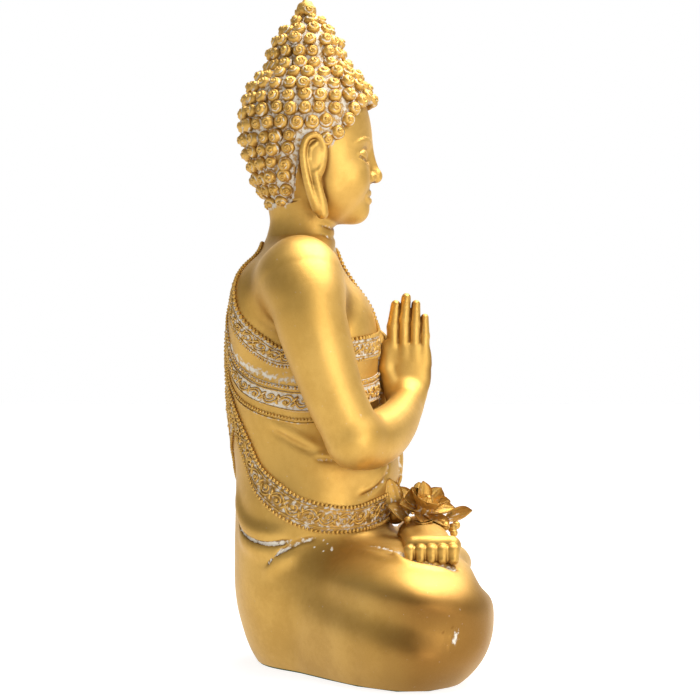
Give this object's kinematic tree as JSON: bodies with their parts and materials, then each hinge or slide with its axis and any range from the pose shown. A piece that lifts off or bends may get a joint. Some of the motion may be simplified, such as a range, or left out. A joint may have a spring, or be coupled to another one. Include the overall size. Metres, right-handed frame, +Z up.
{
  "type": "buddha statue",
  "caption": "Gold-painted resin statue of a seated figure with hands in prayer, snail-curl hair, a draped robe with beaded bands and a lotus on the lap",
  "frame": {"origin": "on the underside of the felt, under the middle of the base", "axes": "+Z up, the figure faces -Y, its left hand side is +X"},
  "size_m": [0.268, 0.159, 0.4],
  "materials": {
    "gold_paint": "satin",
    "antique_wash": "matte",
    "resin": "matte",
    "felt": "matte",
    "plug_plastic": "matte",
    "steel": "satin"
  },
  "bodies": {
    "root": {"body_casting": "gold_paint", "base_plate": "resin", "base_felt": "felt", "vent_plug": "plug_plastic", "neck_rod": "steel", "right_arm_dowel": "steel", "left_arm_dowel": "steel", "right_arm": "gold_paint", "left_arm": "gold_paint", "right_hand": "gold_paint", "left_hand": "gold_paint", "head": "gold_paint", "right_ear": "gold_paint", "left_ear": "gold_paint", "hair_cap": "antique_wash", "hair_curls_lower": "gold_paint", "hair_curls_middle": "gold_paint", "hair_curls_upper": "gold_paint", "topknot": "antique_wash", "topknot_curls": "gold_paint", "finial": "gold_paint", "chest_band": "antique_wash", "rib_band": "antique_wash", "waist_sash": "antique_wash", "shoulder_robe": "gold_paint", "front_panel": "gold_paint", "chest_band_beads": "gold_paint", "rib_band_beads": "gold_paint", "waist_sash_beads": "gold_paint", "hip_folds": "gold_paint", "left_foot": "gold_paint", "lotus_cup": "gold_paint", "lotus_inner_petals": "gold_paint", "lotus_outer_petals": "gold_paint", "lotus_leaves": "gold_paint", "lotus_buds": "gold_paint"}
  },
  "joints": []
}
